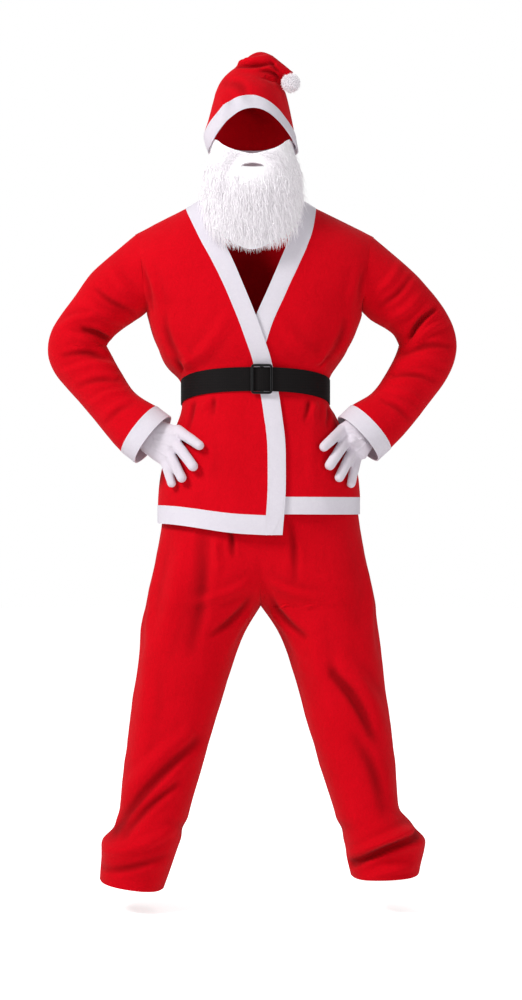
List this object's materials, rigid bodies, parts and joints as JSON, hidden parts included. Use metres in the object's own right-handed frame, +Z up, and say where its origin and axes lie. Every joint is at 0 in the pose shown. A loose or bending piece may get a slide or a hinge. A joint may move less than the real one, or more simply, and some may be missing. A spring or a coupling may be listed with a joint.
{
  "type": "santa suit",
  "caption": "Felt Santa suit in its worn form: wrap jacket with white trim, belt, trousers, hat, beard and gloves.",
  "frame": {"origin": "midway between the shoulders, where the wearer or a hanger carries the jacket", "axes": "+X to the wearer's left, +Y to the wearer's back, +Z up"},
  "size_m": [0.8791, 0.3103, 1.7763],
  "materials": {
    "red_felt": "matt needle felt with a short nap",
    "white_trim": "matt white felt",
    "white_fur": "white wavy pile",
    "glove_cotton": "fine white cotton knit",
    "black_webbing": "black woven webbing",
    "black_plastic": "moulded black plastic"
  },
  "bodies": {
    "root": {"beard": "white_fur", "beard_strap": "white_trim", "belt": "black_webbing", "buckle": "black_plastic", "cuff_left": "white_trim", "cuff_right": "white_trim", "front_trim_left": "white_trim", "front_trim_right": "white_trim", "glove_left": "glove_cotton", "glove_right": "glove_cotton", "hat_crown": "red_felt", "hat_pompom": "white_fur", "hat_trim": "white_trim", "hem_trim_back": "white_trim", "hem_trim_left": "white_trim", "hem_trim_right": "white_trim", "jacket_back": "red_felt", "jacket_front_left": "red_felt", "jacket_front_right": "red_felt", "neck_trim": "white_trim", "sleeve_left": "red_felt", "sleeve_right": "red_felt", "trouser_back_left": "red_felt", "trouser_back_right": "red_felt", "trouser_front_left": "red_felt", "trouser_front_right": "red_felt", "waistband": "red_felt"}
  },
  "joints": []
}
